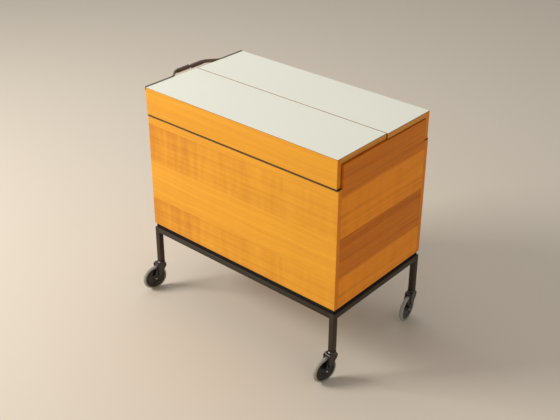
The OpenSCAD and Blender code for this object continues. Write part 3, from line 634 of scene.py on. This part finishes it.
def add_fork(bm):
    """A pressed hood with a turned-down lip, two ribbed arms and the bearing's cap on top."""
    swell_r = (HOOD_FRONT + HOOD_BACK) / 2
    swell, eye = ((HOOD_BACK - HOOD_FRONT) / 2, LIP_Z), (-TRAIL, WHEEL_R)
    lean = math.degrees(math.atan2(eye[1] - swell[1], eye[0] - swell[0]))
    spread = math.degrees(math.acos((swell_r - EYE_R) / math.dist(swell, eye)))
    rear, front = lean + spread, lean - spread
    outline = hood_outline(0)[::-1] + arc(swell, swell_r, 180, front + 360, 4)
    outline += arc(eye, EYE_R, front + 360, rear, 16) + arc(swell, swell_r, rear, 0, 6)
    for outward in (-1, 1):
        at = [(outward * ARM_IN, y, z) for _, y, z in outline]
        faces = extruded(bm, at, (outward, 0, 0), ARM_T)
        bmesh.ops.recalc_face_normals(bm, faces=faces)
        skin = max(faces, key=lambda f: f.calc_center_median().x * outward)
        bmesh.ops.inset_region(bm, faces=[skin], thickness=0.9 * MM, depth=0.6 * MM)
        bmesh.ops.inset_region(bm, faces=[skin], thickness=1.5 * MM, depth=0)
        bmesh.ops.inset_region(bm, faces=[skin], thickness=0.8 * MM, depth=-0.9 * MM)
    sheet = [(0, -HOOD_FRONT, LIP_Z)] + hood_outline(0) + [(0, HOOD_BACK, LIP_Z)]
    inner = [(0, HOOD_BACK - ARM_T, LIP_Z)] + hood_outline(ARM_T)[::-1] + [(0, -HOOD_FRONT + ARM_T, LIP_Z)]
    half = [(-ARM_IN - 0.2 * MM, y, z) for _, y, z in sheet + inner]
    faces = extruded(bm, half, (1, 0, 0), 2 * ARM_IN + 0.4 * MM)
    bmesh.ops.recalc_face_normals(bm, faces=faces)
    cap = [(STEM_R + 0.2 * MM, HOOD_TOP - 1 * MM), (BEARING_R, HOOD_TOP - 1 * MM),
           (BEARING_R, HOOD_TOP + 0.6 * MM), (BEARING_R - 0.5 * MM, HOOD_TOP + 1.3 * MM),
           (BEARING_R - 1.5 * MM, BEARING_TOP), (STEM_R + 0.2 * MM, BEARING_TOP)]
    stand_up(bm, spun(bm, cap, (0, 0, 0), 32))
    for face in bm.faces:
        if face.calc_center_median().z > HOOD_TOP + 0.05 * MM:
            face.material_index = 1


def add_wheel(bm):
    """A moulded disc: hub, dished web with a step, and a raised rim."""
    half = [(AXLE_R + 0.05 * MM, HUB_HALF), (5.8 * MM, HUB_HALF), (6.6 * MM, HUB_HALF - 0.6 * MM),
            (7.4 * MM, RIM_HALF + 0.8 * MM), (9 * MM, RIM_HALF - 0.6 * MM), (20.5 * MM, RIM_HALF - 1.7 * MM),
            (22 * MM, RIM_HALF - 1.6 * MM), (23.6 * MM, RIM_HALF - 0.3 * MM), (24.4 * MM, RIM_HALF),
            (27.5 * MM, RIM_HALF), (WHEEL_R - TYRE_T + 0.3 * MM, RIM_HALF - 0.4 * MM)]
    return spun(bm, both_ways(half), (0, -TRAIL, WHEEL_R), 72)


def add_tyre(bm):
    """A grey tyre with a full round tread."""
    half = [(WHEEL_R - TYRE_T, TYRE_W / 2 - 0.9 * MM), (WHEEL_R - TYRE_T + 0.5 * MM, TYRE_W / 2 - 0.1 * MM)]
    shoulder = (WHEEL_R - TYRE_ROUND, TYRE_W / 2 - TYRE_ROUND)
    for i in range(8):
        turn = math.radians(90 * i / 7)
        half.append((shoulder[0] + TYRE_ROUND * math.sin(turn), shoulder[1] + TYRE_ROUND * math.cos(turn)))
    return spun(bm, both_ways(half), (0, -TRAIL, WHEEL_R), 80)


def add_rivets(bm):
    """The swivel stem with its peened foot, and the axle with a domed head at both ends."""
    foot = HOOD_TOP - ARM_T
    stem = [(0, foot - 1.5 * MM), (4.6 * MM, foot - 1.5 * MM), (5.5 * MM, foot - 0.6 * MM), (5.5 * MM, foot),
            (STEM_R, foot), (STEM_R, 112 * MM), (STEM_R - 1 * MM, STEM_TOP), (0, STEM_TOP)]
    stand_up(bm, spun(bm, stem, (0, 0, 0), 24))
    end = ARM_OUT + 0.4 * MM
    half = [(0, end + 1.4 * MM), (1.3 * MM, end + 1.2 * MM), (2.4 * MM, end + 0.7 * MM), (3.1 * MM, end),
            (AXLE_R, end - 0.2 * MM)]
    spun(bm, both_ways(half), (0, -TRAIL, WHEEL_R), 24)
    bmesh.ops.remove_doubles(bm, verts=bm.verts, dist=1e-6)


for where, turn in CASTOR_TURN.items():
    low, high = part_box("leg_" + where)
    axis = (low + high) / 2
    place = Matrix.Translation((axis.x, axis.y, 0)) @ Matrix.Rotation(math.radians(turn), 4, "Z")
    for kind, build, finish, slot, body in (
            ("fork", add_fork, [castor_enamel, bearing_steel], "black_steel", "castor_"),
            ("rivets", add_rivets, [rivet_steel], "bright_steel", "castor_"),
            ("wheel", add_wheel, [wheel_moulding], "wheel_disc", "castor_wheel_"),
            ("tyre", add_tyre, [tyre_rubber], "tyre", "castor_wheel_")):
        bm = bmesh.new()
        build(bm)
        bmesh.ops.transform(bm, matrix=place, verts=bm.verts)
        as_piece(f"{kind}_{where}_made", bm, body + where, finish, [f"{kind}_{where}"], 35)

# ---- Setting ----
# A plain flat pale floor in an even pale room, with a strong soft light from the front left,
# weaker ones from the front right and from above, and a camera to the front right of the box.

CASE_CENTRE = (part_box("front_panel")[0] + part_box("rear_panel")[1]) / 2
CAMERA_TURN = 40.82
CAMERA_RISE = 27.83
CAMERA_ROLL = 0.28
CAMERA_DISTANCE = 2.527
CAMERA_RIGHT = -0.0102
CAMERA_UP = 0.1628
CAMERA_LENS = 60.9
CAMERA_SHIFT = -0.0625
CAMERA_SENSOR = 36
KEY_POWER = 96
FILL_POWER = 10
OVERHEAD_POWER = 18
FLOOR_HALF = 6
FLOOR_PALE = (0.62, 0.545, 0.45, 1)
ROOM_WHITE = (0.86, 0.86, 0.85, 1)
ROOM_STRENGTH = 0.52


def area_light(name, place, aim, size, power, colour=(1, 1, 1)):
    """A soft square light pointed at a place."""
    data = bpy.data.lights.new(name, "AREA")
    data.shape = "SQUARE"
    data.size = size
    data.energy = power
    data.color = colour
    lamp = bpy.data.objects.new(name, data)
    bpy.context.scene.collection.objects.link(lamp)
    lamp.location = place
    lamp.rotation_euler = (Vector(aim) - Vector(place)).to_track_quat("-Z", "Y").to_euler()


area_light("key", (-2.1, -1.9, 2.0), (-0.1, 0, 0.35), 1.3, KEY_POWER, (1.0, 0.985, 0.95))
area_light("fill", (3.0, -1.2, 1.2), (0, 0, 0.3), 2.4, FILL_POWER, (1.0, 0.93, 0.82))
area_light("overhead", (-0.9, 0.7, 2.9), (0, 0, 0.4), 2.4, OVERHEAD_POWER)

bm = bmesh.new()
bmesh.ops.create_grid(bm, x_segments=1, y_segments=1, size=FLOOR_HALF)
floor_mesh = bpy.data.meshes.new("floor")
bm.to_mesh(floor_mesh)
bm.free()
floor = bpy.data.objects.new("floor", floor_mesh)
bpy.context.scene.collection.objects.link(floor)
made, tree, shader, place = new_material("pale_floor")
shader.inputs["Base Color"].default_value = FLOOR_PALE
shader.inputs["Roughness"].default_value = 0.75
floor_mesh.materials.append(made)

world = bpy.data.worlds.new("studio")
world.use_nodes = True
background = world.node_tree.nodes["Background"]
background.inputs["Color"].default_value = ROOM_WHITE
background.inputs["Strength"].default_value = ROOM_STRENGTH
bpy.context.scene.world = world
bpy.context.scene.view_settings.view_transform = "Standard"

turn, rise, roll = (math.radians(a) for a in (CAMERA_TURN, CAMERA_RISE, CAMERA_ROLL))
back = Vector((math.sin(turn) * math.cos(rise), -math.cos(turn) * math.cos(rise), math.sin(rise)))
right = Vector((math.cos(turn), math.sin(turn), 0))
up = back.cross(right)
tilt = Matrix.Rotation(roll, 3, back)
case_foot = Vector((CASE_CENTRE.x, CASE_CENTRE.y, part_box("front_panel")[0].z))
camera = bpy.data.objects.new("camera", bpy.data.cameras.new("camera"))
bpy.context.scene.collection.objects.link(camera)
right, up = tilt @ right, tilt @ up
camera_place = case_foot + right * CAMERA_RIGHT + up * CAMERA_UP + back * CAMERA_DISTANCE
camera_axes = Matrix((right, up, back)).transposed().to_4x4()
camera.matrix_world = Matrix.Translation(camera_place) @ camera_axes
camera.data.lens = CAMERA_LENS
camera.data.sensor_width = CAMERA_SENSOR
camera.data.shift_y = CAMERA_SHIFT
bpy.context.scene.camera = camera
